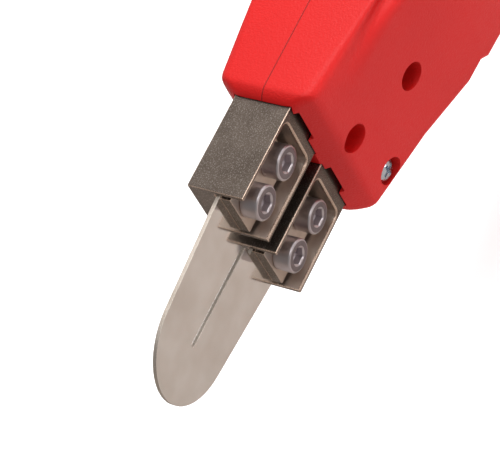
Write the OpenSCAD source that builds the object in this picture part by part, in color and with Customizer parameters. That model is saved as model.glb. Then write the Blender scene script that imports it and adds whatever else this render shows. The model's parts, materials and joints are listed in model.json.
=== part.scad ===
// Electric hot knife with a pistol grip: a one-turn transformer heats a slit blade
// that is clamped between two terminal blocks. Blade forward is -X, up is +Z.
// The origin is on the parting plane at the front face of the nose, midway between the terminals.

/* [Terminals] */
// Width of a terminal block
terminal_w = 15; // [14:0.1:16]
// Height of a terminal block
terminal_h = 18.8; // [17:0.1:19]
// Reach of a terminal in front of the nose
terminal_out = 25.1; // [24:0.1:30]
// Reach of a terminal into the nose
terminal_in = 7.6; // [7:0.1:7.8]
// Distance between the two terminal axes
terminal_pitch = 23.7; // [23.5:0.1:26]
// Wall above and below the pocket of a terminal
pocket_wall = 1.2; // [0.8:0.1:2]
// Wall behind the pocket of a terminal, in front of the nose
pocket_back = 2.7; // [2:0.1:3]
// Inner corner radius of the pocket
pocket_round = 2; // [0.5:0.1:3]

/* [Clamp] */
// Thickness of the plate that presses on the blade
clamp_plate_t = 2.7; // [2:0.1:3.5]
// Height of the plate
clamp_plate_h = 13.6; // [12:0.1:15]
// Gap between the plate and the back of the pocket
clamp_plate_back = 1.6; // [0.5:0.1:2]
// Thread diameter of the clamp screws
clamp_screw_d = 5; // [4:0.5:6]
// Head diameter of the clamp screws
clamp_head_d = 8.6; // [7:0.1:10]
// Head height of the clamp screws
clamp_head_h = 4.7; // [4:0.1:6]
// Width across the flats of the hexagon socket
clamp_hex = 4; // [3:0.5:5]
// Depth of the hexagon socket
clamp_hex_depth = 2.5; // [1.5:0.1:3]
// Distance from the nose to the rear clamp screw
clamp_screw_first = 8.9; // [8.8:0.1:9.5]
// Distance between the two clamp screws of a terminal
clamp_screw_pitch = 11.2; // [9.5:0.1:11.5]

/* [Blade] */
// Thickness of the blade
blade_t = 1; // [0.6:0.1:1.5]
// Height of the blade at its legs
blade_h = 38.2; // [34:0.1:39]
// Reach of the blade in front of the terminals
blade_out = 43; // [34:1:60]
// Slope of the spine and of the cutting edge toward the tip, in degrees
blade_taper = 6; // [0:0.5:10]
// Width of the slit that sends the current out to the tip and back
blade_slit = 1.5; // [1:0.1:3]
// Length of steel left between the slit and the tip
blade_bridge = 14; // [8:0.5:16]

/* [Housing] */
// Wall thickness of the housing
wall = 2.5; // [2:0.1:3]
// Width of the nose at its front face
nose_w = 25; // [24:0.1:30]
// Housing above the terminals at the nose
nose_cover = 2.4; // [2.2:0.1:5]
// Housing below the terminals at the nose
nose_floor = 4.9; // [4.5:0.1:6]
// Lean of the front face, in degrees
nose_lean = -1.3; // [-2:0.1:2]
// Rounding from the front face into the top
front_round = 4.5; // [4:0.5:5]
// Rounding from the front face into the bottom
front_low_round = 3; // [2.5:0.5:5]
// How far both roundings run back along the body
front_run = 4; // [3.4:0.2:4.4]
// How far the front is swept back from the terminals to its sides
front_sweep = 3.8; // [3:0.1:4.2]
// Thickness of the front wall
front_wall = 4.5; // [4:0.1:4.6]
// Width of the clearance slot beside a terminal
side_slot_w = 1.5; // [1:0.1:2]
// Length of that slot
side_slot_len = 11; // [8:0.5:13]
// Distance from the top of a terminal down to that slot
side_slot_drop = 2; // [1:0.1:3]
// Depth of that slot
side_slot_depth = 3; // [2:0.1:3.5]
// Length of the body from the nose to the rear
body_len = 164; // [160:1:175]
// Length of the rounded rear end
rear_round = 30; // [24:1:34]
// Half-width that the sides gain for each millimetre of length
side_flare = 0.2; // [0.18:0.005:0.21]
// Half-width that the flat top gains for each millimetre of length
top_flare = 0.11; // [0.105:0.005:0.13]
// Largest width of the body
body_w = 48; // [47:0.2:54]
// Depth of the valley between the flat top and the belly
valley_depth = 3; // [2:0.1:3.2]
// How far the valley is cut in under the edge of the flat top, in front of the core
valley_under = 0.8; // [0:0.1:0.9]
// Rise of the underside between the nose and the finger notch
belly_lift = 1.5; // [0:0.1:1.8]
// Distance from the nose to the highest point of that rise
lift_x = 26; // [24:0.5:30]
// Depth of the finger notch under the body, in front of the grip
notch_depth = 1.6; // [0:0.1:2]
// Distance from the nose to the deepest point of the finger notch
notch_x = 50.5; // [50:0.5:52]

/* [Grip] */
// Distance from the rear of the body to the axis of the grip, level with the body's underside
grip_back = 52; // [50:0.5:54]
// Slope of the grip, backward for each millimetre down
grip_slope = 0.25; // [0.2:0.01:0.3]
// Length of the grip below the body
grip_len = 110; // [108:1:120]
// Depth of the grip from front to rear
grip_depth = 43; // [42:0.5:48]
// Width of the grip
grip_w = 35; // [34:0.5:40]
// Waist that the grip loses at mid length
grip_waist = 1.5; // [0:0.1:2]
// Swell where the grip runs into the body
grip_swell = 6; // [2:0.5:8]

/* [Housing screws] */
// Thread diameter of the housing screws
case_screw_d = 3.5; // [3:0.1:4]
// Head diameter of the housing screws
case_head_d = 6.6; // [6:0.1:7]
// Head height of the housing screws
case_head_h = 2.4; // [2:0.1:3]
// Diameter of the recesses for their heads
recess_d = 7.4; // [7:0.1:8]
// Diameter of the screw bosses
boss_d = 8.4; // [8:0.1:9]
// Grip of the left half under each screw head
boss_seat = 4; // [3:0.1:5]
// Length of screw in the right half
screw_bite = 9; // [7:0.5:10]

/* [Transformer] */
// Diameter of the copper hairpin
bar_d = 5; // [4:0.1:5.2]
// Depth of the hairpin's seat in a terminal
bar_seat = 5; // [4:0.5:6]
// Height of the iron core
core_h = 36.4; // [36:0.1:37]
// Width of the iron core
core_w = 31; // [30:0.1:31.5]
// Distance from the iron core to the rear of the body
core_behind = 50; // [42:0.5:56]
// Distance from the nose to the stack
core_x = 62; // [61:0.5:64]
// Width of the middle leg
core_leg = 8; // [7:0.1:9]
// Width of the outer legs and of the yokes
core_yoke = 3.5; // [3:0.1:3.6]
// Wall of the bobbin
bobbin_t = 1; // [0.8:0.1:1.2]
// Build-up of the primary winding
winding_t = 3.2; // [2:0.1:3.6]
// Thickness of the steel strap round the core
strap_t = 0.8; // [0.5:0.1:1]
// Width of the strap's tabs under the core
strap_tab = 5; // [3:0.5:8]

/* [Trigger and switch] */
// Width of the trigger
trigger_w = 14; // [10:0.5:16]
// Height of the trigger
trigger_h = 26; // [22:0.5:27]
// Drop from the body's underside to the top of the trigger
trigger_drop = 11; // [10:0.5:13]
// Reach of the trigger in front of the grip
trigger_out = 8; // [6:0.5:10]
// Travel of the trigger
trigger_travel = 5; // [3:0.5:6]
// Radius of the finger hollow in the trigger
finger_r = 22; // [18:1:40]
// Thickness of the trigger's rear flange
trigger_flange_t = 2.5; // [2:0.1:3]
// Width that the flange adds on each side
trigger_flange_w = 2.6; // [2:0.1:2.8]
// Free length of the return spring
spring_len = 10; // [9:0.5:11]
// Outer diameter of the return spring
spring_d = 8; // [7:0.1:9]
// Wire diameter of the return spring
spring_wire = 0.8; // [0.5:0.1:1]
// Diameter of the switch plunger
plunger_d = 5; // [4:0.1:5.4]
// Length of the switch
switch_len = 13; // [12:0.5:14]
// Width of the switch
switch_w = 16; // [12:0.5:17]
// Height of the switch
switch_h = 24; // [22:0.5:25]

/* [Supply] */
// Bore of the cord inlet bush
cord_bore = 7.6; // [6:0.1:9]
// Outer diameter of the cord inlet bush
bush_d = 13; // [12:0.1:14]
// Diameter of the bush's flanges
bush_flange_d = 17; // [16:0.1:20]
// Thickness of the bush's flanges
bush_flange_t = 2; // [1.5:0.1:3]
// Diameter of the insulated leads
lead_d = 2.4; // [1.8:0.1:2.4]
// Length of the connector block
block_len = 18; // [17:0.5:19]
// Width of the connector block
block_w = 12; // [10:0.5:13]
// Height of the connector block
block_h = 14; // [12:0.5:15]
// Thickness of the cord clamp over the cord
cord_clamp_t = 2.5; // [2:0.1:4]

/* [Hidden] */
$fn = 48;

// Clearances: pressed seat, sliding seat, free running gap, and an overshoot for cuts
seat_gap = 0.05;
slide_gap = 0.15;
run_gap = 0.3;
over = 1;
half_turn = 180;

housing_red = "#d4302e";
nickel = "#9a8f86";
steel = "#b9b9b7";
zinc = "#c9d0d6";
copper = "#b4683c";
dark_plastic = "#2b2b2d";

// Terminals and clamp
term_z = terminal_pitch / 2;
term_half_w = terminal_w / 2;
term_half_h = terminal_h / 2;
pocket_h = terminal_h - 2 * pocket_wall;
pocket_x = -pocket_back;
clamp_screw_x = [-clamp_screw_first, -clamp_screw_first - clamp_screw_pitch];
plate_y = -blade_t / 2 - clamp_plate_t;
clamp_hole_d = clamp_screw_d + 2 * run_gap;

// Blade: the nose circle is tangent to both sloping edges
blade_x = -terminal_out - blade_out;
blade_r = (blade_h / 2 * cos(blade_taper) - blade_out * sin(blade_taper)) / (1 - sin(blade_taper));
leg_gap = terminal_pitch - pocket_h + 2 * run_gap;
leg_gap_front = 1.5;

// Body sections
body_top = term_z + term_half_h + nose_cover;
body_bottom = -term_z - term_half_h - nose_floor;
body_h = body_top - body_bottom;
valley_start = 3;
valley_full = 34;
shoulder_drop = 1.2;
nose_edge = 3;
nose_side_step = 6;
valley_edge = 1.3;
shoulder_round = 2.4;
bottom_round = 2.2;
lean_fade = 40;
notch_run = 6;
notch_step = 2.5;
notch_start = notch_x - notch_run;
rear_x = body_len - rear_round;

// Grip sections
grip_x = body_len - grip_back;
grip_base_z = body_bottom - grip_len;
grip_power = 2.6;
swell_run = 6;
base_round = 4;

function smooth(a, b, x) = let (t = min(1, max(0, (x - a) / (b - a)))) t * t * (3 - 2 * t);
function mix(a, b, t) = a + (b - a) * t;
function unit(v) = v / norm(v);
function bezier(a, b, c, n) = [for (i = [0:n]) let (t = i / n) pow(1 - t, 2) * a + 2 * t * (1 - t) * b + t * t * c];
// A rounded corner takes less than half of each side, so that neighbouring corners never meet
side_share = 0.48;
function pull(q, p, r) = q + unit(p - q) * min(r, norm(p - q) * side_share);
function corner(p, q, s, r, n) = bezier(pull(q, p, r), q, pull(q, s, r), n);

// How far the valley and the belly have grown at a place along the body
function growth(x) = smooth(valley_start, valley_full, x);
function side_half(x) = min(body_w / 2, nose_w / 2 + side_flare * x);
function top_half(x) = min(side_half(x), nose_w / 2 + top_flare * x);
function notch(x) = notch_depth * (smooth(notch_start, notch_x, x)
                                   - smooth(notch_x, notch_x + notch_step, x));
function cut_under(x) = valley_under * (1 - smooth(notch_start, core_x - rib_t, x));
function lift(x) = belly_lift * max(0, min(x / lift_x, (notch_start - x) / (notch_start - lift_x)));
function lean(x, z) = tan(nose_lean) * z * (1 - smooth(0, lean_fade, x));

// Half of a body section: across the parting plane, over the top, valley, belly and bottom.
// share shrinks it toward the rear; in_w, in_z and in_low draw it in from the sides, top and bottom.
corner_steps = 5;
function body_half_section(x, share, in_w, in_z, in_low) =
    let (g = growth(x),
         side = side_half(x) * share - in_w,
         top_w = top_half(x) * share - in_w,
         top_z = body_top * share - in_z,
         low_z = (body_bottom + lift(x) + notch(x)) * share + in_low,
         valley_z = top_z - mix(nose_side_step, valley_depth, g) * share,
         belly_z = top_z - mix(2 * nose_side_step, valley_depth + shoulder_drop, g) * share,
         k0 = [-over, top_z],
         k1 = [top_w, top_z],
         k2 = [mix(side, top_w - cut_under(x), g), valley_z],
         k3 = [side, belly_z],
         k4 = [side, low_z],
         k5 = [-over, low_z])
    concat([k0], corner(k0, k1, k2, mix(nose_edge, valley_edge, g), corner_steps),
           corner(k1, k2, k3, valley_edge, corner_steps),
           corner(k2, k3, k4, shoulder_round, corner_steps),
           corner(k3, k4, k5, bottom_round, corner_steps), [k5]);

function body_ring(x, share, in_w, in_z, in_low) =
    [for (p = body_half_section(x, share, in_w, in_z, in_low)) [x + lean(x, p[1]), -p[0], p[1]]];

// The front is flat between the terminals' sides and swept back beyond them, with a rounded edge into the side.
// Each place in its plan is [distance from the nose, how far the side is drawn in].
sweep_in = (nose_w - terminal_w) / 2;
front_edge = 1.6;
front_end = front_sweep + 2 * front_edge;
front_shares = [0, 0.02, 0.08, 0.2, 0.4];
front_plan = concat(
    [for (t = front_shares) [front_sweep * t, sweep_in * (1 - t)]],
    corner([0, sweep_in], [front_sweep, 0], [front_end, 0], front_edge, corner_steps),
    [[front_end, 0]]);
function drawn_in(x) = 1 - sqrt(1 - pow(1 - min(1, x / front_run), 2));

// Grip sections are squared ellipses that lean backward as they go down
function grip_t(z) = min(1, max(0, (body_bottom - z) / grip_len));
function grip_mid(z) = grip_x + grip_slope * grip_len * grip_t(z);
function grip_extra(z) = grip_swell * exp(-grip_len * grip_t(z) / swell_run) - grip_waist * sin(half_turn * grip_t(z));
function squared(v) = sign(v) * pow(abs(v), 2 / grip_power);
grip_steps = 16;
function grip_ring(z, inset) =
    let (a = grip_depth / 2 + grip_extra(z) - inset,
         b = grip_w / 2 + grip_extra(z) - inset,
         c = grip_mid(z))
    concat([[c + a, over, z]],
           [for (i = [0:grip_steps]) let (t = half_turn * i / grip_steps)
            [c + a * squared(cos(t)), -b * squared(sin(t)), z]],
           [[c - a, over, z]]);

// Closed solid through rings that all have the same number of points
module loft(rings) {
    m = len(rings[0]);
    n = len(rings);
    sides = [for (j = [0:n - 2], k = [0:m - 1], h = [0, 1])
             let (a = j * m + k, b = j * m + (k + 1) % m)
             h == 0 ? [a, b + m, b] : [a, a + m, b + m]];
    front = [[for (k = [0:m - 1]) k]];
    back = [[for (k = [m - 1:-1:0]) (n - 1) * m + k]];
    polyhedron([for (r = rings) each r], concat(sides, front, back));
}

// Places along the body where a ring is needed, and angles round its front and rear ends
base_angles = [90, 70, 50, 33, 16, 0];
rear_angles = [0, 20, 40, 55, 68, 79];
nose_rings = 3;
belly_rings = 4;
body_stations = concat(
    [for (i = [1:nose_rings]) mix(front_end, lift_x, i / nose_rings)],
    [for (i = [1:nose_rings]) mix(lift_x, notch_start, i / nose_rings)],
    [notch_x - notch_run / 2, notch_x, notch_x + notch_step / 2, notch_x + notch_step],
    [for (i = [1:belly_rings]) mix(notch_x + notch_step, rear_x, i / (belly_rings + 1))]);
grip_rings = 9;
swell_rings = [0.02, 0.06, 0.11];
grip_stations = concat([for (t = swell_rings) body_bottom - grip_len * t],
    [for (i = [2:grip_rings]) mix(body_bottom, grip_base_z + base_round, i / (grip_rings + 1))]);

// Left half of the outer body, carried past the parting plane for a clean cut there
module body_solid() {
    loft(concat(
        [for (p = front_plan) let (in = drawn_in(p[0]))
         body_ring(p[0], 1, p[1], front_round * in, front_low_round * in)],
        [for (x = body_stations) body_ring(x, 1, 0, 0, 0)],
        [for (a = rear_angles) body_ring(rear_x + rear_round * sin(a), cos(a), 0, 0, 0)]));
}

module body_cavity() {
    inner_angles = [for (i = [0:len(rear_angles) - 2]) rear_angles[i]];
    loft(concat([body_ring(front_wall, 1, wall, wall, wall)],
        [for (x = body_stations) body_ring(x, 1, wall, wall, wall)],
        [for (a = inner_angles) body_ring(rear_x + (rear_round - wall) * sin(a), cos(a), wall, wall, wall)]));
}

module grip_solid() {
    loft(concat([grip_ring(body_bottom / 2, 0), grip_ring(body_bottom, 0)],
        [for (z = grip_stations) grip_ring(z, 0)],
        [for (i = [len(base_angles) - 1:-1:0]) let (a = base_angles[i])
         grip_ring(grip_base_z + base_round * (1 - sin(a)), base_round * (1 - cos(a)))]));
}

module grip_cavity() {
    loft(concat([grip_ring(body_bottom / 2, wall), grip_ring(body_bottom, wall)],
        [for (z = grip_stations) grip_ring(z, wall)],
        [grip_ring(grip_base_z + base_round, wall), grip_ring(grip_base_z + wall, wall)]));
}

// Round bar along Y from one side of the parting plane to another
module bar_y(x, z, d, y0, y1) {
    translate([x, y0, z])
    rotate([-90, 0, 0])
    cylinder(d = d, h = y1 - y0);
}

// Places of the housing screws, and of the cored locating posts in the nose
post_x = 7.7;
low_screw_x = 12.4;
low_screw_rise = 5.2;
mid_screw_x = 29.3;
mid_screw_drop = 3.2;
rear_screw_back = 14;
rear_screw_z = 10;
grip_screw_drop = 45;
grip_screw_back = 13;
base_screw_rise = 25;
base_screw_fore = 10;
low_screw_z = body_bottom + low_screw_rise;
grip_screw_z = body_bottom - grip_screw_drop;
base_screw_z = grip_base_z + base_screw_rise;
low_screw_sink = 0.8;
low_seat = side_half(low_screw_x) - low_screw_sink - case_head_h;
// Each place is [x, z, distance of the head's seat from the parting plane]
case_screws = [[low_screw_x, low_screw_z, low_seat],
               [mid_screw_x, -mid_screw_drop, boss_seat],
               [rear_x + rear_screw_back, rear_screw_z, boss_seat],
               [grip_mid(grip_screw_z) + grip_screw_back, grip_screw_z, boss_seat],
               [grip_mid(base_screw_z) - base_screw_fore, base_screw_z, boss_seat]];
post_recess = 5;
peg_d = 3;
housing_span = 2 * (body_len + grip_len);

// What stays standing inside a half: screw bosses, nose ribs and core ribs
nose_rib_x = 4.4;
rib_t = 2;
core_end = body_len - core_behind;
core_len = core_end - core_x;
core_rib_in = 5;
core_ribs_x = [core_x + core_rib_in, core_end - core_rib_in - rib_t];
strap_half_w = core_w / 2 + strap_t;
strap_half_h = core_h / 2 + strap_t;

module inner_ribs() {
    for (s = case_screws) bar_y(s[0], s[1], boss_d, -body_w, 0);
    bar_y(post_x, 0, boss_d, -body_w, -term_half_w - slide_gap);
    bar_y(post_x, 0, peg_d, -body_w, -slide_gap);
    difference() {
        translate([nose_rib_x, -body_w, body_bottom]) cube([rib_t, body_w + 2 * over, body_h]);
        terminal_room(slide_gap);
        translate([0, -term_half_w - slide_gap, -term_z])
        cube([body_len, terminal_w + slide_gap, terminal_pitch]);
    }
    difference() {
        for (x = core_ribs_x) translate([x, -body_w, body_bottom]) cube([rib_t, body_w + 2 * over, body_h]);
        translate([0, -strap_half_w - slide_gap, -strap_half_h - slide_gap])
        cube([body_len, 2 * body_w, 2 * (strap_half_h + slide_gap)]);
    }
    trigger_ribs();
}

module terminal_room(gap) {
    for (s = [-1, 1])
        translate([-terminal_out, -term_half_w - gap, s * term_z - term_half_h - gap])
        cube([terminal_out + terminal_in + gap, terminal_w + 2 * gap, terminal_h + 2 * gap]);
}

// Clearance slots in the front wall, one beside each terminal
module side_slots() {
    for (s = [-1, 1])
        translate([-over, -term_half_w - side_slot_w, s * term_z + term_half_h - side_slot_drop - side_slot_len])
        cube([over + side_slot_depth, side_slot_w + over, side_slot_len]);
}

// Trigger places: the flange meets stop ribs, the block slides between two guide ribs
trigger_top = body_bottom - trigger_drop;
trigger_low = trigger_top - trigger_h;
function grip_front(z) = grip_mid(z) - grip_depth / 2 - grip_extra(z);
stop_in = 4.5;
stop_x = grip_front(trigger_low) + stop_in;
stop_t = 1.8;
flange_short = 6;
flange_h = trigger_h - flange_short;
flange_x = stop_x + run_gap;
flange_back = flange_x + trigger_flange_t;
guide_t = 1.6;
guide_past = 2;
guide_run = trigger_travel + trigger_flange_t + guide_past;
switch_x = flange_back + spring_len;
trigger_mid_z = trigger_top - flange_h / 2;

module trigger_ribs() {
    slot_half = trigger_w / 2 + run_gap;
    translate([stop_x - stop_t, -grip_w, trigger_low])
    cube([stop_t, grip_w - slot_half, trigger_h]);
    for (z = [trigger_top + run_gap, trigger_low - run_gap - guide_t])
        translate([grip_front(body_bottom), -grip_w, z])
        cube([flange_x + guide_run - grip_front(body_bottom), grip_w + over, guide_t]);
}

module half_shell() {
    difference() {
        union() {
            body_solid();
            grip_solid();
        }
        difference() {
            union() {
                body_cavity();
                grip_cavity();
            }
            inner_ribs();
            children();
        }
        translate([-housing_span / 2, 0, -housing_span / 2])
        cube([housing_span, 2 * over, housing_span]);
        terminal_room(run_gap);
        side_slots();
        bar_y(post_x, 0, recess_d, -body_w, -side_half(post_x) + post_recess);
        trigger_room();
        bush_room();
    }
}

module trigger_room() {
    translate([grip_front(body_bottom) - trigger_out, -trigger_w / 2 - run_gap, trigger_low - run_gap])
    cube([flange_back + guide_run - grip_front(body_bottom), trigger_w + 2 * run_gap, trigger_h + 2 * run_gap]);
}

bush_x = grip_mid(grip_base_z);
module bush_room() {
    translate([bush_x, 0, grip_base_z - over])
    cylinder(d = bush_d + 2 * slide_gap, h = wall + 2 * over);
}

case_hole_d = case_screw_d + 2 * run_gap;
case_pilot_d = case_screw_d + 2 * seat_gap;

module housing_left() {
    color(housing_red)
    difference() {
        half_shell();
        for (s = case_screws) {
            bar_y(s[0], s[1], recess_d, -body_w, -s[2]);
            bar_y(s[0], s[1], case_hole_d, -body_w, over);
        }
    }
}

// Posts on the right half that carry the switch, the connector block and the cord clamp
post_d = 6;
module right_posts() {
    for (p = switch_screw_at) bar_y(p[0], p[1], post_d, switch_w / 2 + seat_gap, grip_w);
    bar_y(block_mid_x, block_mid_z, post_d, block_w / 2 + seat_gap, grip_w);
    for (x = cord_screws_x) bar_y(x, clamp_z, post_d, 0, grip_w);
}

module housing_right() {
    color(housing_red)
    difference() {
        mirror([0, 1, 0]) half_shell() mirror([0, 1, 0]) right_posts();
        for (s = case_screws) bar_y(s[0], s[1], case_pilot_d, -over, screw_bite + over);
        for (p = switch_screw_at) bar_y(p[0], p[1], switch_screw_d + 2 * seat_gap, 0, switch_w / 2 + small_bite + over);
        for (x = cord_screws_x) bar_y(x, clamp_z, switch_screw_d + 2 * seat_gap, -over, small_bite + over);
    }
}

module housing_screws() {
    color(zinc)
    for (s = case_screws) {
        bar_y(s[0], s[1], case_head_d, -s[2] - case_head_h, -s[2]);
        bar_y(s[0], s[1], case_screw_d, -s[2], screw_bite);
    }
}

// Terminal block: solid on the far side, with a pocket that is open to the front and to the left
module pocket_outline() {
    half = pocket_h / 2;
    len = terminal_out + over - pocket_back;
    translate([-terminal_out - over, -half]) square([len - pocket_round, pocket_h]);
    translate([-terminal_out - over, -half + pocket_round]) square([len, pocket_h - 2 * pocket_round]);
    for (s = [-1, 1]) translate([pocket_x - pocket_round, s * (half - pocket_round)]) circle(r = pocket_round);
}

tap_d = clamp_screw_d + 2 * seat_gap;
bar_hole_d = bar_d + 2 * seat_gap;
module terminal(z) {
    color(nickel)
    translate([0, 0, z])
    difference() {
        translate([-terminal_out, -term_half_w, -term_half_h])
        cube([terminal_out + terminal_in, terminal_w, terminal_h]);
        translate([0, blade_t / 2, 0]) rotate([90, 0, 0]) linear_extrude(terminal_w) pocket_outline();
        for (x = clamp_screw_x) bar_y(x, 0, tap_d, 0, terminal_w);
        translate([terminal_in - bar_seat, 0, 0]) rotate([0, 90, 0]) cylinder(d = bar_hole_d, h = bar_seat + over);
    }
}
module upper_terminal() { terminal(term_z); }
module lower_terminal() { terminal(-term_z); }

module clamp_plate(z) {
    color(nickel)
    difference() {
        translate([-terminal_out, plate_y, z - clamp_plate_h / 2])
        cube([terminal_out - pocket_back - clamp_plate_back, clamp_plate_t, clamp_plate_h]);
        for (x = clamp_screw_x) bar_y(x, z, clamp_hole_d, plate_y - over, over);
    }
}
module upper_clamp_plate() { clamp_plate(term_z); }
module lower_clamp_plate() { clamp_plate(-term_z); }

// Socket head cap screws, heads to the left; their ends stop inside the tapped block
screw_end_in = 0.8;
hex_d = clamp_hex / cos(30);
module clamp_screws(z) {
    color(steel)
    for (x = clamp_screw_x) difference() {
        union() {
            bar_y(x, z, clamp_head_d, plate_y - clamp_head_h, plate_y);
            bar_y(x, z, clamp_screw_d, plate_y, term_half_w - screw_end_in);
        }
        translate([x, plate_y - clamp_head_h - over, z])
        rotate([-90, 0, 0])
        cylinder(d = hex_d, h = clamp_hex_depth + over, $fn = 6);
    }
}
module upper_clamp_screws() { clamp_screws(term_z); }
module lower_clamp_screws() { clamp_screws(-term_z); }

// Blade: two legs, a slit up the middle and a round nose
nose_steps = 32;
quarter = 90;
function arc(c, r, a0, a1, n) = [for (i = [0:n]) let (a = mix(a0, a1, i / n)) c + r * [cos(a), sin(a)]];
module blade_outline() {
    half = blade_h / 2;
    root_x = pocket_x - run_gap;
    polygon(concat([[root_x, half], [-terminal_out, half]],
                   arc([blade_x + blade_r, 0], blade_r, quarter + blade_taper, 3 * quarter - blade_taper, nose_steps),
                   [[-terminal_out, -half], [root_x, -half]]));
}

module sheet(t) { translate([0, t / 2, 0]) rotate([90, 0, 0]) linear_extrude(t) children(); }

slot_end_x = clamp_screw_x[1] - clamp_hole_d / 2;
module blade() {
    color(steel)
    difference() {
        sheet(blade_t) blade_outline();
        sheet(2 * blade_t) {
            translate([blade_x + blade_bridge, -blade_slit / 2]) square([-blade_x, blade_slit]);
            translate([-terminal_out - leg_gap_front, -leg_gap / 2])
            square([terminal_out + over + leg_gap_front, leg_gap]);
            for (s = [-1, 1]) {
                translate([slot_end_x + clamp_hole_d / 2, s * term_z - clamp_hole_d / 2])
                square([-slot_end_x, clamp_hole_d]);
                translate([slot_end_x + clamp_hole_d / 2, s * term_z]) circle(d = clamp_hole_d);
            }
        }
    }
}

// Insulator between the terminals inside the nose, located on the two pegs
spacer_x = front_wall + slide_gap;
spacer_len = post_x + peg_d - spacer_x;
spacer_gap = terminal_pitch - terminal_h;
module terminal_spacer() {
    color("#d8cdb8")
    difference() {
        translate([spacer_x, -term_half_w, -spacer_gap / 2]) cube([spacer_len, terminal_w, spacer_gap]);
        bar_y(post_x, 0, peg_d + 2 * slide_gap, -terminal_w, terminal_w);
    }
}

// One-turn secondary: a copper hairpin through both windows of the core
winding_out = bobbin_t + winding_t + run_gap;
bend_x = core_end + winding_out + over;
bar_x = terminal_in - bar_seat + slide_gap;
module secondary_bar() {
    color(copper) {
        for (s = [-1, 1]) translate([bar_x, 0, s * term_z]) rotate([0, 90, 0]) cylinder(d = bar_d, h = bend_x - bar_x);
        translate([bend_x, 0, 0])
        rotate([90, 90, 0])
        rotate_extrude(angle = half_turn)
        translate([term_z, 0]) circle(d = bar_d);
    }
}

// Laminated core: an E stack and an I stack whose middle leg lies across the tool
window_y = core_w / 2 - core_yoke;
leg_len = core_w - core_yoke;
module stack_x() { translate([core_x, 0, 0]) rotate([90, 0, 90]) linear_extrude(core_len) children(); }
module core_e_stack() {
    color("#6d6a68")
    stack_x() {
        translate([window_y, -core_h / 2]) square([core_yoke, core_h]);
        for (z = [-core_h / 2, core_h / 2 - core_yoke]) translate([-window_y, z]) square([leg_len, core_yoke]);
        translate([-window_y, -core_leg / 2]) square([leg_len, core_leg]);
    }
}
module core_i_stack() {
    color("#6d6a68")
    stack_x() translate([-core_w / 2, -core_h / 2]) square([core_yoke, core_h]);
}

// Bobbin and winding: rings round the middle leg, drawn in the XZ plane and extruded along Y
module leg_ring(outset, y0, y1) {
    translate([0, y1, 0])
    rotate([90, 0, 0])
    linear_extrude(y1 - y0)
    difference() {
        translate([core_x - outset, -core_leg / 2 - outset]) square([core_len + 2 * outset, core_leg + 2 * outset]);
        children();
    }
}
module leg_hole(outset) {
    translate([core_x - outset, -core_leg / 2 - outset]) square([core_len + 2 * outset, core_leg + 2 * outset]);
}
bobbin_y = window_y - run_gap;
tube_out = slide_gap + bobbin_t;
coil_out = tube_out + winding_t;
module coil_bobbin() {
    color("#e8e2d2") {
        leg_ring(tube_out, -bobbin_y, bobbin_y) leg_hole(slide_gap);
        for (y = [-bobbin_y, bobbin_y - bobbin_t]) leg_ring(coil_out, y, y + bobbin_t) leg_hole(slide_gap);
    }
}
module primary_winding() {
    color("#8a4a24")
    leg_ring(coil_out - seat_gap, -bobbin_y + bobbin_t, bobbin_y - bobbin_t) leg_hole(tube_out);
}

// Steel strap over the top and sides, with tabs folded under the core
module core_strap() {
    color(steel)
    stack_x() difference() {
        translate([-strap_half_w, -strap_half_h]) square([2 * strap_half_w, 2 * strap_half_h]);
        translate([-core_w / 2, -core_h / 2]) square([core_w, core_h]);
        translate([-core_w / 2 + strap_tab, -strap_half_h - over]) square([core_w - 2 * strap_tab, core_h]);
    }
}

// Trigger: a block with a finger hollow, and a flange that stops it at rest
finger_hollow = 3;
module trigger() {
    front_top = grip_front(trigger_top) - trigger_out;
    front_low = grip_front(trigger_low) - trigger_out;
    mid = [(front_top + front_low) / 2, (trigger_top + trigger_low) / 2];
    back_dir = unit([trigger_h, front_top - front_low]);
    color(dark_plastic) {
        difference() {
            translate([0, trigger_w / 2, 0])
            rotate([90, 0, 0])
            linear_extrude(trigger_w)
            difference() {
                polygon([[front_top, trigger_top], [flange_back, trigger_top], [flange_back, trigger_low],
                         [front_low, trigger_low]]);
                translate(mid - back_dir * (finger_r - finger_hollow)) circle(r = finger_r);
            }
        }
        translate([flange_x, -trigger_w / 2 - trigger_flange_w, trigger_top - flange_h])
        cube([trigger_flange_t, trigger_w + 2 * trigger_flange_w, flange_h]);
    }
}

// Bar along X, used for the plunger and the spring
module bar_x_at(x0, x1, d) { translate([x0, 0, trigger_mid_z]) rotate([0, 90, 0]) cylinder(d = d, h = x1 - x0); }

plunger_in = 4;
plunger_x = flange_back + slide_gap;
module switch_plunger() { color("#d9d4c8") bar_x_at(plunger_x, switch_x + plunger_in, plunger_d); }

module trigger_spring() {
    color(zinc)
    difference() {
        bar_x_at(flange_back + slide_gap, switch_x - slide_gap, spring_d);
        bar_x_at(flange_back - over, switch_x + over, spring_d - 2 * spring_wire);
    }
}

switch_screw_inset = 3.5;
switch_screw_d = 3;
switch_top = trigger_mid_z + switch_h / 2;
switch_screw_at = [[switch_x + switch_screw_inset, switch_top - switch_screw_inset],
                   [switch_x + switch_len - switch_screw_inset, switch_top - switch_h + switch_screw_inset]];
module switch_body() {
    color(dark_plastic)
    difference() {
        translate([switch_x, -switch_w / 2, switch_top - switch_h]) cube([switch_len, switch_w, switch_h]);
        bar_x_at(switch_x - over, switch_x + plunger_in + trigger_travel + over, plunger_d + 2 * seat_gap);
        for (p = switch_screw_at) bar_y(p[0], p[1], switch_screw_d + 2 * slide_gap, -switch_w, switch_w);
    }
}

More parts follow.
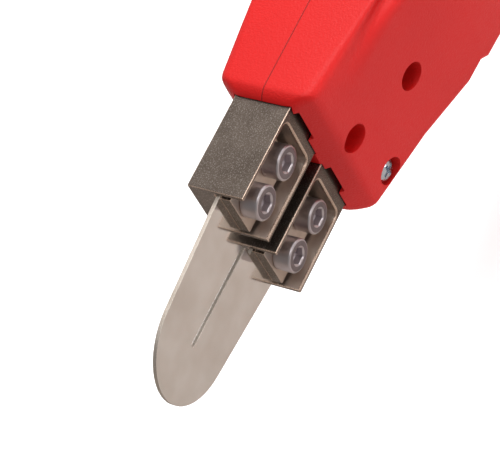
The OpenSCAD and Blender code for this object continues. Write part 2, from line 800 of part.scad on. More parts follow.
// Screws of the switch go into posts on the right half
small_head_d = 5;
small_head_h = 1.8;
small_bite = 5;
module switch_screws() {
    color(zinc)
    for (p = switch_screw_at) {
        bar_y(p[0], p[1], small_head_d, -switch_w / 2 - small_head_h, -switch_w / 2);
        bar_y(p[0], p[1], switch_screw_d, -switch_w / 2, switch_w / 2 + small_bite);
    }
}

// Connector block: two ways, each with a wire bore and a clamping screw
block_rise = 44;
block_mid_z = grip_base_z + block_rise;
block_mid_x = grip_mid(block_mid_z);
block_way = 4.25;
block_ways_x = [block_mid_x - block_way, block_mid_x + block_way];
wire_hole_d = lead_d + 2 * run_gap;
block_screw_d = 3.5;
block_screw_in = lead_d / 2 + run_gap;
block_screw_out = 0.6;
module terminal_block() {
    color("#e9e6dc")
    difference() {
        translate([block_mid_x - block_len / 2, -block_w / 2, block_mid_z - block_h / 2])
        cube([block_len, block_w, block_h]);
        for (x = block_ways_x) {
            translate([x, 0, block_mid_z - block_h]) cylinder(d = wire_hole_d, h = 2 * block_h);
            bar_y(x, block_mid_z, block_screw_d + 2 * seat_gap, -block_w, 0);
        }
    }
}
module terminal_block_screws() {
    color("#b8923e")
    for (x = block_ways_x)
        bar_y(x, block_mid_z, block_screw_d, -block_w / 2 - block_screw_out, -block_screw_in);
}

// Leads: round tubes through hand-chosen points, each bend softened by its neighbours
lead_sides = 8;
lead_side = [1, 0.1, 0];
function lead_dir(r, i) = unit(r[min(i + 1, len(r) - 1)] - r[max(i - 1, 0)]);
function lead_ring(r, i) =
    let (d = lead_dir(r, i),
         u = unit(cross(d, lead_side)),
         v = cross(d, u))
    [for (k = [0:lead_sides - 1]) let (a = 360 * k / lead_sides)
     r[i] + lead_d / 2 * (u * cos(a) + v * sin(a))];
module lead(route) { loft([for (i = [0:len(route) - 1]) lead_ring(route, i)]); }

lead_in = 4;
lead_rise = 2;
lead_drop = 3;
lead_climb = [0.27, 0.5];
switched_y = 4;
block_top = block_mid_z + block_h / 2;
switch_low = switch_top - switch_h;
live_x = switch_x + switch_screw_inset;
module lead_live() {
    color("#7a4a2a")
    lead([[block_ways_x[0], 0, block_top - lead_in], [block_ways_x[0], 0, block_top + lead_rise],
          [live_x, 0, switch_low - lead_drop], [live_x, 0, switch_low - slide_gap]]);
}

coil_end_x = core_end + tube_out + winding_t / 2;
coil_low_z = -core_leg / 2 - coil_out;
lead_side_y = 6.2;
switched_x = switch_x + switch_len - switch_screw_inset;
module lead_switched() {
    color("#2a2a2a")
    lead([[switched_x, switched_y, switch_top + slide_gap], [switched_x, switched_y, switch_top + lead_drop],
          [coil_end_x, lead_side_y, body_bottom - lead_drop],
          [coil_end_x, lead_side_y, coil_low_z - slide_gap]]);
}

neutral_y = -11.6;
neutral_x = switch_x + switch_len / 2;
module lead_neutral() {
    color("#3b6ea5")
    lead([[block_ways_x[1], 0, block_top - lead_in], [block_ways_x[1], 0, block_top + lead_rise],
          [block_ways_x[1] - over, -switched_y, mix(block_top, switch_low, lead_climb[0])],
          [neutral_x + over, neutral_y, mix(block_top, switch_low, lead_climb[1])],
          [neutral_x, neutral_y, switch_low], [neutral_x, neutral_y, switch_top],
          [coil_end_x - over, -lead_side_y - lead_rise, body_bottom - lead_drop],
          [coil_end_x, -lead_side_y, body_bottom + lead_drop],
          [coil_end_x, -lead_side_y, coil_low_z - slide_gap]]);
}

// Cord inlet: a flanged bush in the base of the grip, with a clamp bar above it
bush_top = grip_base_z + wall + slide_gap + bush_flange_t;
bush_low = grip_base_z - slide_gap - bush_flange_t;
module cord_inlet_bush() {
    color(dark_plastic)
    translate([bush_x, 0, 0])
    difference() {
        union() {
            translate([0, 0, bush_low]) cylinder(d = bush_d, h = bush_top - bush_low);
            for (z = [bush_low, bush_top - bush_flange_t])
                translate([0, 0, z]) cylinder(d = bush_flange_d, h = bush_flange_t);
        }
        translate([0, 0, bush_low - over]) cylinder(d = cord_bore, h = bush_top - bush_low + 2 * over);
    }
}

clamp_lift = 7;
clamp_ear = 4.5;
clamp_z = bush_top + clamp_lift;
clamp_reach = cord_bore / 2 + clamp_ear;
clamp_y = -slide_gap;
clamp_back = clamp_y - cord_bore / 2 - cord_clamp_t;
clamp_h = 7;
cord_screws_x = [bush_x - clamp_reach, bush_x + clamp_reach];
module cord_clamp() {
    color("#e9e6dc")
    difference() {
        translate([bush_x - clamp_reach - clamp_h / 2, clamp_back, clamp_z - clamp_h / 2])
        cube([2 * clamp_reach + clamp_h, clamp_y - clamp_back, clamp_h]);
        translate([bush_x, 0, clamp_z - clamp_h]) cylinder(d = cord_bore, h = 2 * clamp_h);
        for (x = cord_screws_x) bar_y(x, clamp_z, switch_screw_d + 2 * slide_gap, -grip_w, over);
    }
}
module cord_clamp_screws() {
    color(zinc)
    for (x = cord_screws_x) {
        bar_y(x, clamp_z, small_head_d, clamp_back - small_head_h, clamp_back);
        bar_y(x, clamp_z, switch_screw_d, clamp_back, clamp_y + small_bite);
    }
}

housing_left();
housing_right();
housing_screws();
upper_terminal();
lower_terminal();
upper_clamp_plate();
lower_clamp_plate();
upper_clamp_screws();
lower_clamp_screws();
blade();
terminal_spacer();
secondary_bar();
core_e_stack();
core_i_stack();
coil_bobbin();
primary_winding();
core_strap();
trigger();
trigger_spring();
switch_body();
switch_plunger();
switch_screws();
lead_live();
lead_switched();
lead_neutral();
terminal_block();
terminal_block_screws();
cord_inlet_bush();
cord_clamp();
cord_clamp_screws();
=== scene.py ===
# %% [markdown]
# An electric hot knife of the pistol type: a transformer in a red plastic body sends a heavy current
# through a slit blade, which grows hot. Its solids could be modelled again here, but they already
# carry every main form, so this lesson loads them and adds finishes, small rounds and screw sockets.
# The looks may not change the size.

# %% Load the parts
import json
import math
import bpy
import bmesh
from mathutils import Matrix, Vector


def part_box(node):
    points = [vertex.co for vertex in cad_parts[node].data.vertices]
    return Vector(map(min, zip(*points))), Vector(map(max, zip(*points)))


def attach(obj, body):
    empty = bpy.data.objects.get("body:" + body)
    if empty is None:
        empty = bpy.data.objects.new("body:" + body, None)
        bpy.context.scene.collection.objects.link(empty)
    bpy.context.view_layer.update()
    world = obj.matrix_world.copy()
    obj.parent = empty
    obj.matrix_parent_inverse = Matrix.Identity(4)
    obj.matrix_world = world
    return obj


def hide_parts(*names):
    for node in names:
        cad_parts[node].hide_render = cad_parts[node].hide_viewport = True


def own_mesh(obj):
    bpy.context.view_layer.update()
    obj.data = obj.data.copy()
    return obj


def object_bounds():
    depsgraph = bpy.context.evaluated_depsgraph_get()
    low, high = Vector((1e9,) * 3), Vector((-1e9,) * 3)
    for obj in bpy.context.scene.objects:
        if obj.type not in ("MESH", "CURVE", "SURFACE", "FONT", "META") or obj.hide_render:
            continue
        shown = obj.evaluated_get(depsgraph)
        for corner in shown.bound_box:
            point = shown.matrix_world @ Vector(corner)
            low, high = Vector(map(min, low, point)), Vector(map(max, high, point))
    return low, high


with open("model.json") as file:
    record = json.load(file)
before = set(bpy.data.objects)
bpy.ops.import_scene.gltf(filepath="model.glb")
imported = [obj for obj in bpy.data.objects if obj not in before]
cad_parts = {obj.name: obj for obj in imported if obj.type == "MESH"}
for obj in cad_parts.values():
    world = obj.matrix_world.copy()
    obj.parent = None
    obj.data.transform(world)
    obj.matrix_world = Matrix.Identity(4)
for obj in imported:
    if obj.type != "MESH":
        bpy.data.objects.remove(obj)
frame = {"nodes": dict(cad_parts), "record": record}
cad_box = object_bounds()
MM = 0.001
print("parts:", len(frame["nodes"]), "box mm:", [round(v / MM, 1) for v in cad_box[1] - cad_box[0]])

# %% [markdown]
# Each finish is a small tree of shader nodes. A picture could be painted instead, but it needs an
# unwrapped mesh and a file, and noise on the object's own coordinates needs neither. One function
# adds a node, sets it and links it, so that a finish reads as a recipe. Colours are picked as screen
# hex codes and turned into light values once, and patterns are given in millimetres.

# %% Helpers for finishes
def tone(code):
    """Linear light values of a screen colour such as #d4302e."""
    parts = [int(code[i:i + 2], 16) / 255 for i in (1, 3, 5)]
    return [c / 12.92 if c <= 0.04045 else ((c + 0.055) / 1.055) ** 2.4 for c in parts] + [1]


def every(size):
    """Texture scale for grains or bands that come every size millimetres."""
    return 1 / (size * MM)


def feed(tree, node, sockets):
    """Sets a node's inputs, or links them where the value is another node's output."""
    for socket, value in sockets.items():
        if isinstance(value, bpy.types.NodeSocket):
            tree.links.new(value, node.inputs[socket])
        else:
            node.inputs[socket].default_value = value
    return node.outputs


def add(tree, kind, sockets, **settings):
    """Adds a shader node with its settings and feeds its inputs."""
    made = tree.nodes.new("ShaderNode" + kind)
    for key, value in settings.items():
        setattr(made, key, value)
    return feed(tree, made, sockets)


def blank(name):
    """A new material: its tree, its main shader and the place on the object in metres."""
    made = bpy.data.materials.new(name)
    made.use_nodes = True
    tree = made.node_tree
    return made, tree, tree.nodes["Principled BSDF"], add(tree, "TexCoord", {})["Object"]


# %% [markdown]
# The housing is ABS, moulded in a tool with a spark-eroded skin. That gives the eye a deep red with a
# soft, wide sheen, a fine stipple, and a fine groove where the halves meet. The stipple could be real
# bumps, but they would take millions of faces, so it is noise in a bump node, drawn coarser than the
# real one so that it shows. The groove is a bump too, with its shade painted into the colour as a
# darker line. The line is found from the distance to the parting plane, so it follows the housing
# all round. Trigger, insulators, bush and leads share the recipe.

# %% Moulded plastics
# Half the sheen of bare plastic, because the stipple scatters it
SHEEN = 0.25
# Width of the faint clouds in the colour, in millimetres
BROAD = 30
# Where most of a noise lies between 0 and 1
NOISE_SPAN = {"From Min": 0.3, "From Max": 0.7}
# Half widths and depth of the parting line, in millimetres
LINE_FROM, LINE_TO, LINE_DEPTH = 0.05, 0.22, 0.12


def moulded(name, code, dark, grain, depth, rough, groove_shade=None):
    """Plastic with a stippled skin, and perhaps a groove on the parting plane, its shade painted darker."""
    made, tree, shader, where = blank(name)
    broad = add(tree, "TexNoise", {"Vector": where, "Scale": every(BROAD), "Detail": 2.0})["Fac"]
    share = add(tree, "MapRange", {"Value": broad, **NOISE_SPAN, "To Min": 0.0, "To Max": 0.35})["Result"]
    colour = add(tree, "MixRGB", {"Fac": share, "Color1": tone(code), "Color2": tone(dark)})["Color"]
    skin = add(tree, "TexNoise", {"Vector": where, "Scale": every(grain), "Detail": 3.0})["Fac"]
    dull = add(tree, "MapRange", {"Value": skin, **NOISE_SPAN,
                                  "To Min": rough - 0.05, "To Max": rough + 0.06})["Result"]
    relief = add(tree, "Bump", {"Height": skin, "Distance": depth * MM, "Strength": 1.0})["Normal"]
    # The groove's shade is painted into the colour, over a bump that gives the groove its depth
    if groove_shade:
        across = add(tree, "SeparateXYZ", {"Vector": where})["Y"]
        away = add(tree, "Math", {0: across}, operation="ABSOLUTE")["Value"]
        clear = add(tree, "MapRange", {"Value": away, "From Min": LINE_FROM * MM, "From Max": LINE_TO * MM},
                    interpolation_type="SMOOTHSTEP")["Result"]
        colour = add(tree, "MixRGB", {"Fac": clear, "Color1": tone(groove_shade), "Color2": colour})["Color"]
        relief = add(tree, "Bump", {"Height": clear, "Distance": LINE_DEPTH * MM, "Strength": 1.0,
                                    "Normal": relief})["Normal"]
    feed(tree, shader, {"Base Color": colour, "Roughness": dull, "Specular IOR Level": SHEEN,
                        "Normal": relief})
    return made


# Stippled ABS: deep red, a soft sheen, and a parting groove with painted shade
red_plastic = moulded("red_stippled_abs", "#cf1816", "#c01413", 0.5, 0.1, 0.5, groove_shade="#9c1a18")
# Moulded nylon: near black, satin
black_plastic = moulded("black_nylon", "#232325", "#1b1b1c", 0.6, 0.03, 0.45)
# Insulator moulding: warm off-white, satin
pale_plastic = moulded("pale_insulator_moulding", "#e6dfcf", "#d8cfbc", 0.8, 0.02, 0.5)
# Moulded rubber: black and dull
rubber = moulded("black_rubber", "#1a1a1a", "#121212", 0.9, 0.03, 0.7)
# Extruded PVC on the leads: plain colours, smoother and a little glossier than the mouldings
brown_lead = moulded("brown_pvc_lead", "#6a4128", "#593420", 1.2, 0.01, 0.4)
black_lead = moulded("black_pvc_lead", "#202021", "#181818", 1.2, 0.01, 0.4)
blue_lead = moulded("blue_pvc_lead", "#2f629e", "#28548a", 1.2, 0.01, 0.4)
print("plastics:", len(bpy.data.materials))

# %% [markdown]
# The terminals are nickel-plated brass, the screws plated steel and the blade rolled steel. A scanned
# picture of brushed metal could be used, but it repeats and has no real size. Here one recipe serves
# all: a colour with clouds of tarnish, and marks that are noise drawn out along an axis, coarser than
# real brush marks so that they show. The comment above a metal says what it gives the eye.

# %% Metals
# Widths of a cloud of tarnish and of a bright speck, in millimetres
TARNISH, SPECK = 9, 0.3
SPECK_COLOUR = "#efe3d8"


def metal(name, code, tarnish, rough, mark=(1, 1, 1), depth=0.004, grain=0.25, fleck=0.0):
    """Metal with tarnish, fine marks and a share of bright specks.
    A small number in mark draws the marks out along that axis."""
    made, tree, shader, where = blank(name)
    cloud = add(tree, "TexNoise", {"Vector": where, "Scale": every(TARNISH), "Detail": 2.0})["Fac"]
    share = add(tree, "MapRange", {"Value": cloud, **NOISE_SPAN, "To Min": 0.0, "To Max": 0.7})["Result"]
    colour = add(tree, "MixRGB", {"Fac": share, "Color1": tone(code), "Color2": tone(tarnish)})["Color"]
    if fleck:
        specks = add(tree, "TexNoise", {"Vector": where, "Scale": every(SPECK), "Detail": 2.0})["Fac"]
        bright = add(tree, "MapRange", {"Value": specks, "From Min": 0.52, "From Max": 0.7,
                                        "To Max": fleck})["Result"]
        colour = add(tree, "MixRGB", {"Fac": bright, "Color1": colour,
                                      "Color2": tone(SPECK_COLOUR)})["Color"]
    stretched = add(tree, "Mapping", {"Vector": where, "Scale": mark})["Vector"]
    lines = add(tree, "TexNoise", {"Vector": stretched, "Scale": every(grain), "Detail": 3.0})["Fac"]
    dull = add(tree, "MapRange", {"Value": lines, **NOISE_SPAN,
                                  "To Min": rough - 0.05, "To Max": rough + 0.08})["Result"]
    relief = add(tree, "Bump", {"Height": lines, "Distance": depth * MM, "Strength": 1.0})["Normal"]
    feed(tree, shader, {"Metallic": 1.0, "Base Color": colour, "Roughness": dull, "Normal": relief})
    return made


# Dull nickel plate on sawn brass: brownish grey with bright specks
nickel = metal("nickel_plated_brass", "#766a61", "#584d45", 0.38, (0.15, 1, 1), fleck=0.26)
# The same plate where a cutter milled it: plainer, and painted paler for the light that falls on it
milled_and_lit_nickel = metal("milled_nickel_painted_light", "#d8c9bd", "#bdaca0", 0.4, (0.15, 1, 1))
# The same plate rubbed along its edges: pale and brighter, from wear and from a painted highlight
worn_edge_and_highlight = metal("worn_nickel_edge_and_highlight", "#d8c0ae", "#b89e8d", 0.28)
# Sheared sheet: rough and pale, with torn bright specks
cut_edge = metal("sheared_steel_edge", "#d3c9bf", "#b3a79b", 0.6, fleck=0.5)
# Nickel on steel: silvery on the turned sides of a head; its flat end is a little rougher and painted
# darker as shade
screw_steel = metal("nickel_plated_steel", "#cfc6c8", "#b3a9ac", 0.34)
shaded_end_steel = metal("nickel_steel_painted_shade", "#8d8284", "#746a6c", 0.42)
# Zinc plate: bright and bluish
zinc = metal("bright_zinc_plate", "#d3dae2", "#b4bcc6", 0.24)
# Rolled and polished sheet: nearly a mirror, with faint lines along the blade
blade_steel = metal("rolled_blade_steel", "#ebe6e0", "#d7cfc6", 0.1, (0.04, 1, 1), 0.0003, 0.2)
# Drawn copper: warm and satin
copper = metal("drawn_copper", "#c07a54", "#97552f", 0.30, (0.1, 1, 1))
# Drawn spring wire: grey and semi-bright
spring_wire = metal("drawn_spring_wire", "#9d9c9a", "#7d7b78", 0.28)
# Turned brass: yellow and semi-bright
brass = metal("turned_brass", "#c9a45a", "#a5813c", 0.28)
print("plastics and metals:", len(bpy.data.materials))

# %% [markdown]
# Inside sit an iron core, stacked from varnished sheets, and a coil of enamelled wire. Each sheet and
# each turn could be modelled, but the closed housing hides them, so a wave texture draws bands at
# their real pitch. It gives the eye dark lines between dull grey sheets or warm brown turns.

# %% Sheets and turns
# Bands that a wave texture draws in a metre at a scale of 1
WAVE_TURN = 20 / math.tau
BAND_DEPTH = 0.05


def banded(name, code, dark, pitch, axis, metallic, rough):
    """A stack of sheets or turns, pitch millimetres thick along an axis."""
    made, tree, shader, where = blank(name)
    bands = add(tree, "TexWave", {"Vector": where, "Scale": every(pitch) / WAVE_TURN, "Distortion": 0.1},
                bands_direction=axis)["Fac"]
    colour = add(tree, "MixRGB", {"Fac": bands, "Color1": tone(dark), "Color2": tone(code)})["Color"]
    relief = add(tree, "Bump", {"Height": bands, "Distance": BAND_DEPTH * MM, "Strength": 1.0})["Normal"]
    feed(tree, shader, {"Metallic": metallic, "Base Color": colour, "Roughness": rough, "Normal": relief})
    return made


iron = banded("varnished_core_laminations", "#6d6a68", "#3f3b38", 0.5, "X", 0.6, 0.45)
wire = banded("enamelled_copper_wire", "#9a5328", "#5c2a12", 0.6, "Y", 0.7, 0.3)
print("materials:", len(bpy.data.materials))

# %% [markdown]
# Two moulded halves make the housing. Their lofted form is in the solids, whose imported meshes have
# split corners and would shade as facets. A Weld modifier could join them, but a welded copy in a
# bmesh can also be shaped further, so the same helper serves the blocks, plates, blade, trigger and
# bush below. Faces shade smooth, and edges that bend by more than a limit stay sharp.

# %% Housing
SHARP = math.radians(32)
WELD = 0.002


def welded(node):
    """A bmesh of a CAD node with its corners joined."""
    bm = bmesh.new()
    bm.from_mesh(frame["nodes"][node].data)
    bmesh.ops.remove_doubles(bm, verts=bm.verts, dist=WELD * MM)
    return bm


def piece(bm, name, body, nodes, slot, *materials, limit=SHARP):
    """Turns a bmesh into a named piece that rides on a body and stands for CAD nodes."""
    bmesh.ops.recalc_face_normals(bm, faces=bm.faces)
    for face in bm.faces:
        face.smooth = True
        face.material_index = min(face.material_index, len(materials) - 1)
    for edge in bm.edges:
        edge.smooth = len(edge.link_faces) == 2 and edge.calc_face_angle(0) < limit
    mesh = bpy.data.meshes.new(name)
    bm.to_mesh(mesh)
    bm.free()
    for material in materials:
        mesh.materials.append(material)
    made = bpy.data.objects.new(name, mesh)
    bpy.context.scene.collection.objects.link(made)
    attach(made, body)
    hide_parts(*nodes)
    print(name, len(mesh.polygons), "faces")
    return made


for side in ("left", "right"):
    node = "housing_" + side
    piece(welded(node), "shell_" + side, "body", [node], "red_housing", red_plastic)

# %% [markdown]
# Each leg of the blade is clamped in a nickel-plated brass block, under a plate with two screws. Such
# blocks are sawn, milled, tumbled and plated, so no edge is perfect and the small rounds catch light.
# A Bevel modifier would round all edges alike, but the mouth of a pocket is worn wider than the rest,
# so the bevel operator takes chosen edges. Flat triangles are joined first, so that rounds run clean.

# %% Rounds
COPLANAR = math.radians(0.5)
# How close to the front, or to the outer box, counts as lying on it, in millimetres
NEAR, OUTER = 0.01, 0.3
# Materials of a rounded piece, by number
FACE, EDGE, POCKET = 0, 1, 2


def round_edges(bm, width, steps, wanted):
    """Rounds the sharp edges that are wanted, by width in millimetres, and marks the rounds."""
    sharp = [e for e in bm.edges
             if len(e.link_faces) == 2 and e.calc_face_angle(0) > SHARP and wanted(e)]
    rounds = bmesh.ops.bevel(bm, geom=sharp, offset=width * MM, segments=steps, profile=0.5,
                             affect="EDGES", clamp_overlap=True, material=-1)["faces"]
    # On the blocks and plates the rounds get worn plate with a painted highlight
    for face in rounds:
        face.material_index = EDGE


def rounded(node, width, steps=2, mouth=None):
    """A welded copy with rounded edges. The edges of a pocket that faces -Y may get a wider round."""
    bm = welded(node)
    bmesh.ops.dissolve_limit(bm, angle_limit=COPLANAR, verts=bm.verts, edges=bm.edges)
    if mouth:
        front = min(v.co.y for v in bm.verts) + NEAR * MM
        low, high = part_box(node)
        outside = {f for f in bm.faces if f.normal.dot(f.calc_center_median())
                   > sum(max(n * a, n * b) for n, a, b in zip(f.normal, low, high)) - OUTER * MM}
        round_edges(bm, mouth, 3, lambda e: all(v.co.y < front for v in e.verts)
                    and any(f not in outside for f in e.link_faces))
    round_edges(bm, width, steps, lambda e: True)
    return bm


# %% [markdown]
# Rounds are worn bright, and a painted highlight makes them brighter still. The milled pockets and
# the broad faces of the plates are plainer than the dull skin, and painted paler for the light that
# falls on them. Vertex colours could say where, but whole faces change here, so each face gets one
# of a piece's materials. The flat faces shade as true planes, so that they mirror straight.

# %% Terminals, plates and blade
CRISP = math.radians(18)
BLOCK_ROUND, MOUTH_ROUND, PLATE_ROUND, BLADE_ROUND = 0.25, 0.55, 0.18, 0.1
POCKET_IN = 0.6
# How squarely a face looks along Y, from 0 to 1
SQUARE_ON, SIDE_ON = 0.9, 0.5


def painted(bm, index, wanted):
    """Gives a material to the faces that are wanted."""
    bm.normal_update()
    for face in bm.faces:
        if wanted(face):
            face.material_index = index
    return bm


def in_pocket(bm, depth):
    """Picks the flat faces deeper than so many millimetres inside a block."""
    low, high = ([pick(v.co[i] for v in bm.verts) for i in range(3)] for pick in (min, max))

    def wanted(face):
        middle = face.calc_center_median()
        inside = all(a + depth * MM < m < b - depth * MM for a, m, b in zip(low, middle, high))
        return inside and face.material_index == FACE
    return wanted


for level in ("upper", "lower"):
    node = level + "_terminal"
    block = rounded(node, BLOCK_ROUND, mouth=MOUTH_ROUND)
    # Pocket faces get the milled plate, painted paler for the light that falls into the pocket
    painted(block, POCKET, in_pocket(block, POCKET_IN))
    piece(block, level + "_clamp_block", "body", [node], "nickel",
          nickel, worn_edge_and_highlight, milled_and_lit_nickel, limit=CRISP)
    node = level + "_clamp_plate"
    # The plate's broad faces get the milled plate, painted paler for the light that falls on them
    plate = painted(rounded(node, PLATE_ROUND), POCKET, lambda f: abs(f.normal.y) > SQUARE_ON)
    piece(plate, level + "_pressure_plate", "body", [node], "nickel",
          nickel, worn_edge_and_highlight, milled_and_lit_nickel, limit=CRISP)
sheet = painted(rounded("blade", BLADE_ROUND), FACE, lambda f: abs(f.normal.y) >= SIDE_ON)
painted(sheet, EDGE, lambda f: abs(f.normal.y) < SIDE_ON)
piece(sheet, "slit_blade", "body", ["blade"], "blade_steel", blade_steel, cut_edge, limit=CRISP)

# %% [markdown]
# Four socket head cap screws press the plates home. A hexagon could be cut from a cylinder with a
# Boolean, but that leaves long thin faces that shade badly. So a circle is extruded ring by ring:
# shank, head, chamfer, then down into the socket. The hexagon is the same ring with a radius that
# depends on the angle. The flat ends of the heads are a little rougher than their turned sides, and
# painted darker as shade.

# %% Turned shapes
def turned(bm, rings, count):
    """Skins rings of (height, radius) in mm, from the bottom up, and returns their corners."""
    loop = bmesh.ops.create_circle(bm, segments=count, radius=1)["verts"]
    first = edges = list(dict.fromkeys(e for v in loop for e in v.link_edges))
    corners = []
    for number, (height, radius) in enumerate(rings):
        if number:
            grown = bmesh.ops.extrude_edge_only(bm, edges=edges)["geom"]
            loop = [g for g in grown if isinstance(g, bmesh.types.BMVert)]
            edges = [g for g in grown if isinstance(g, bmesh.types.BMEdge)]
        for v in loop:
            angle = math.atan2(v.co.y, v.co.x)
            size = radius(angle) if callable(radius) else radius
            v.co = Vector((size * math.cos(angle), size * math.sin(angle), height)) * MM
        corners += loop
    for end in (first, edges):
        bmesh.ops.holes_fill(bm, edges=end, sides=count)
    return corners


def hexagon(across_flats):
    """Radius of a hexagon at an angle."""
    third = math.pi / 3
    return lambda a: across_flats / 2 / math.cos((a % third) - third / 2)


# %% Clamp screws
TURNS = 96
TIP = 0.4
HEAD_D, HEAD_H, SHANK_D = 8.6, 4.7, 5.0
HEX, HEX_DEPTH, HEX_LEAD, HEX_RIM = 4.0, 2.0, 0.3, 0.55
DRILL_DEPTH, DRILL_R = 0.5, 0.3
UNDER, CROWN_H, CROWN_MID, CROWN_IN = 0.2, 0.4, 0.12, 0.5
# Material number of the heads' ends with painted shade, and how squarely an end faces along Y
SHADED_END, END_ON = 1, 0.95


def one_screw(bm, x, seat, z, shank_d, shank_end, head):
    """Adds a screw along Y with its head toward -Y; head gives the rings from the seat outward."""
    shank = [(seat - shank_end, shank_d / 2 - TIP), (seat - shank_end + TIP, shank_d / 2),
             (0, shank_d / 2)]
    corners = turned(bm, shank + head, TURNS)
    turn = Matrix.Rotation(math.radians(90), 4, "X")
    place = Matrix.Translation(Vector((x, seat, z)) * MM)
    bmesh.ops.transform(bm, matrix=place @ turn, verts=corners)


def screw_places(node, head_d, head_h):
    """Axis and seat of each screw of a node: corners closer than a head belong to one screw."""
    groups = []
    for corner in frame["nodes"][node].data.vertices:
        p = corner.co / MM
        near = [g for g in groups if math.hypot(g[0].x - p.x, g[0].z - p.z) < head_d * 1.05]
        if near:
            near[0].append(p)
        else:
            groups.append([p])
    return [((min(p.x for p in g) + max(p.x for p in g)) / 2,
             (min(p.z for p in g) + max(p.z for p in g)) / 2,
             min(p.y for p in g) + head_h) for g in groups]


head_r = HEAD_D / 2
cap = [(0, head_r - UNDER), (UNDER, head_r), (HEAD_H - CROWN_H, head_r),
       (HEAD_H - CROWN_MID, head_r - UNDER), (HEAD_H, head_r - CROWN_IN), (HEAD_H, HEX / 2 + HEX_RIM),
       (HEAD_H - HEX_LEAD, hexagon(HEX)), (HEAD_H - HEX_DEPTH, hexagon(HEX)),
       (HEAD_H - HEX_DEPTH - DRILL_DEPTH, DRILL_R)]
for level in ("upper", "lower"):
    node = level + "_clamp_screws"
    low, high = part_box(node)
    caps = bmesh.new()
    for x, z, seat in screw_places(node, HEAD_D, HEAD_H):
        one_screw(caps, x, seat, z, SHANK_D, high.y / MM, cap)
    ends = low.y + HEX_DEPTH * MM
    # The flat ends of the heads get painted shade, a darker copy of the screw steel
    painted(caps, SHADED_END, lambda f: f.calc_center_median().y < ends and abs(f.normal.y) > END_ON)
    piece(caps, level + "_cap_screws", "body", [node], "screw_steel", screw_steel, shaded_end_steel)

# %% [markdown]
# Domed screws with a cross recess hold the halves together, and one of them can be seen. A cross
# could be cut with two boxes, but it is only another radius that depends on the angle, so the rings
# of the clamp screws serve again.

# %% Housing screws
CASE_D, CASE_H, CASE_SHANK = 6.6, 2.4, 3.5
CASE_UNDER, SIDE_H, DOME_H, DOME_IN, FLAT_IN = 0.15, 1.1, 1.9, 0.5, 1.1
ARM, ARM_W, DEEP_ARM, DEEP_W = 2.0, 1.0, 1.3, 0.6
CROSS_DEPTH, POINT_DEPTH, POINT_R = 1.5, 1.8, 0.2


def cross(arm, width):
    """Radius of a plus sign at an angle."""
    quarter = math.pi / 2

    def radius(a):
        off = (a + quarter / 2) % quarter - quarter / 2
        return min(arm / math.cos(off), width / 2 / max(abs(math.sin(off)), 0.01))
    return radius


low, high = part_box("housing_screws")
case_r = CASE_D / 2
dome = [(0, case_r - CASE_UNDER), (CASE_UNDER, case_r), (SIDE_H, case_r), (DOME_H, case_r - DOME_IN),
        (CASE_H - CASE_UNDER, case_r - FLAT_IN), (CASE_H, cross(ARM, ARM_W)),
        (CASE_H - CROSS_DEPTH, cross(DEEP_ARM, DEEP_W)), (CASE_H - POINT_DEPTH, POINT_R)]
case = bmesh.new()
for x, z, seat in screw_places("housing_screws", CASE_D, CASE_H):
    one_screw(case, x, seat, z, CASE_SHANK, high.y / MM, dome)
piece(case, "case_screws", "body", ["housing_screws"], "zinc", zinc)

# %% [markdown]
# A wire spring pushes the trigger out again. The CAD model has a plain sleeve in its place. A Screw
# modifier could make the helix, but the spin operator does so in one call and leaves a plain mesh,
# which can be squashed: the spring shortens toward its rear end when the trigger is pulled.

# %% Trigger spring
COIL_R, WIRE_D, COIL_TURNS = 3.6, 0.8, 6
TURN_STEPS, WIRE_SIDES = 28, 10


def coil(x0, x1, z, mean_r, wire_d, turns):
    """A helix along X between two ends, in millimetres."""
    bm = bmesh.new()
    ring = bmesh.ops.create_circle(bm, segments=WIRE_SIDES, radius=wire_d / 2 * MM)["verts"]
    bmesh.ops.rotate(bm, verts=ring, cent=(0, 0, 0), matrix=Matrix.Rotation(math.radians(90), 3, "X"))
    bmesh.ops.translate(bm, verts=ring, vec=Vector((x0 + wire_d / 2, 0, z + mean_r)) * MM)
    steps = turns * TURN_STEPS
    rise = (x1 - x0 - wire_d) / steps
    bmesh.ops.spin(bm, geom=bm.verts[:] + bm.edges[:], cent=Vector((0, 0, z)) * MM, axis=(1, 0, 0),
                   dvec=(rise * MM, 0, 0), angle=math.tau * turns, steps=steps)
    open_ends = [e for e in bm.edges if len(e.link_faces) == 1]
    bmesh.ops.holes_fill(bm, edges=open_ends, sides=WIRE_SIDES)
    return bm


low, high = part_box("trigger_spring")
helix = coil(low.x / MM, high.x / MM, (low.z + high.z) / 2 / MM, COIL_R, WIRE_D, COIL_TURNS)
spring = piece(helix, "return_spring", "body", ["trigger_spring"], "spring_steel", spring_wire)
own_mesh(spring)

# %% [markdown]
# The trigger is moulded nylon and the cord bush moulded rubber. They could be modelled anew, but
# their solids only lack the wide, even rounds that a mould gives, so the helper for rounds is enough.

# %% Trigger and bush
TRIGGER_ROUND, BUSH_ROUND, MOULD_STEPS = 0.8, 0.5, 3
piece(rounded("trigger", TRIGGER_ROUND, MOULD_STEPS), "finger_trigger", "trigger", ["trigger"],
      "black_plastic", black_plastic)
piece(rounded("cord_inlet_bush", BUSH_ROUND, MOULD_STEPS), "cord_bush", "body", ["cord_inlet_bush"],
      "rubber_bush", rubber)

# %% [markdown]
# The rest is inside the housing, so it stays as CAD made it and only gets its finish. Each node could
# be named here with its material, but the part's record already gives every node a slot.

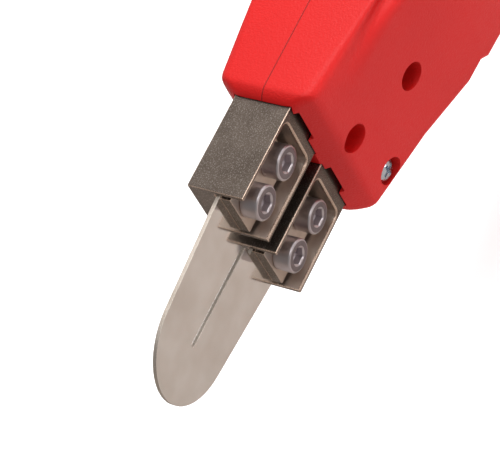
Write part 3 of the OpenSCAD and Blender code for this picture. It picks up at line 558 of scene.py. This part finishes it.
# %% Finishes of the CAD parts
finish_of = {"zinc": zinc, "insulator": pale_plastic, "copper": copper, "core_iron": iron,
             "enamel_wire": wire, "black_plastic": black_plastic, "brown_lead": brown_lead,
             "black_lead": black_lead, "blue_lead": blue_lead, "brass_screw": brass}
slots = {p["node"]: p["material_slot"] for p in frame["record"]["subparts"]}
plain = [node for node, made in frame["nodes"].items() if not made.hide_render]
for node in plain:
    frame["nodes"][node].data.materials.clear()
    frame["nodes"][node].data.materials.append(finish_of[slots[node]])
print("CAD parts with a finish:", len(plain))

# %% [markdown]
# A pale floor lies just under the grip. A plain white plane would look grey from the camera and still
# flood the polished metal with light. So a Light Path node lets the camera see a little glow, and
# lets reflections see a darker floor.

# %% Floor
FLOOR_SIZE = 12
FLOOR_DROP = 0.5
FLOOR_GLOW = 0.36
bpy.ops.mesh.primitive_plane_add(size=FLOOR_SIZE, location=(0, 0, cad_box[0].z - FLOOR_DROP * MM))
floor = bpy.context.object
floor.name = "floor"
floor_paint, tree, shader, where = blank("white_floor")
rays = add(tree, "LightPath", {})
glow = add(tree, "Math", {0: rays["Is Camera Ray"], 1: FLOOR_GLOW}, operation="MULTIPLY")["Value"]
paint = add(tree, "MixRGB", {"Fac": rays["Is Glossy Ray"], "Color1": tone("#f6f6f6"),
                             "Color2": tone("#aca49e")})["Color"]
feed(tree, shader, {"Base Color": paint, "Emission Color": (1, 1, 1, 1), "Emission Strength": glow,
                    "Roughness": 0.9})
floor.data.materials.append(floor_paint)
print("floor at mm:", round(floor.location.z / MM, 1))

# %% [markdown]
# The light is wide and soft. Sun lamps would draw hard shadows, so large area lights are used: a key
# from above and behind, one overhead, and two weak fills from the left. The white surroundings
# are dimmer overhead, so that polished tops don't glare, and dimmer ahead of the nose, so that its
# front falls into shade.

# %% Light
def softbox(name, place, size, power):
    """A square area light that faces the origin."""
    light = bpy.data.lights.new(name, "AREA")
    light.size = size
    light.energy = power
    made = bpy.data.objects.new(name, light)
    made.location = place
    made.rotation_euler = (-Vector(place)).to_track_quat("-Z", "Y").to_euler()
    bpy.context.scene.collection.objects.link(made)


softbox("key", (1.05, 0.0, 1.05), size=0.8, power=20)
softbox("top_fill", (-0.1, -0.1, 1.45), size=0.8, power=10)
softbox("left_fill", (0.5, -1.25, 0.12), size=0.5, power=2)
softbox("upper_left_fill", (-0.1, -1.1, 0.95), size=0.7, power=2)
world = bpy.data.worlds.new("studio")
bpy.context.scene.world = world
world.use_nodes = True
tree = world.node_tree
toward = add(tree, "SeparateXYZ", {"Vector": add(tree, "TexCoord", {})["Generated"]})
walls = add(tree, "MapRange", {"Value": toward["Z"], "From Min": 0.1, "From Max": 0.8,
                               "To Min": 0.92, "To Max": 0.4}, interpolation_type="SMOOTHSTEP")["Result"]
shade = add(tree, "MapRange", {"Value": toward["X"], "From Min": -0.7, "From Max": 0.2,
                               "To Min": 0.3, "To Max": 1.0}, interpolation_type="SMOOTHSTEP")["Result"]
strength = add(tree, "Math", {0: walls, 1: shade}, operation="MULTIPLY")["Value"]
feed(tree, tree.nodes["Background"], {"Color": (1, 1, 1, 1), "Strength": strength})
print("lights:", len(bpy.data.lights))

# %% [markdown]
# The view is that of a long lens half a metre away, which looks down at the nose from its left. A
# Track To constraint could aim the camera, but it can't set the tilt of the picture. The camera's
# place and axes were fitted to the two terminals in the photograph, so they are set as a matrix.

# %% Camera
EYE = Vector((-202.15, -241.83, 388.77))
LENS, SENSOR, NEAREST = 151.5, 36, 10
back = Vector((-0.3632, -0.4912, 0.7917)).normalized()
right = Vector((0.4287, -0.8425, -0.3261))
right = (right - back * right.dot(back)).normalized()
up = back.cross(right)
camera = bpy.data.objects.new("camera", bpy.data.cameras.new("camera"))
bpy.context.scene.collection.objects.link(camera)
camera.matrix_world = Matrix.Translation(EYE * MM) @ Matrix((right, up, back)).transposed().to_4x4()
camera.data.lens = LENS
camera.data.sensor_width = SENSOR
camera.data.clip_start = NEAREST * MM
bpy.context.scene.camera = camera
bpy.context.scene.view_settings.view_transform = "Standard"
print("camera to nose mm:", round(EYE.length))
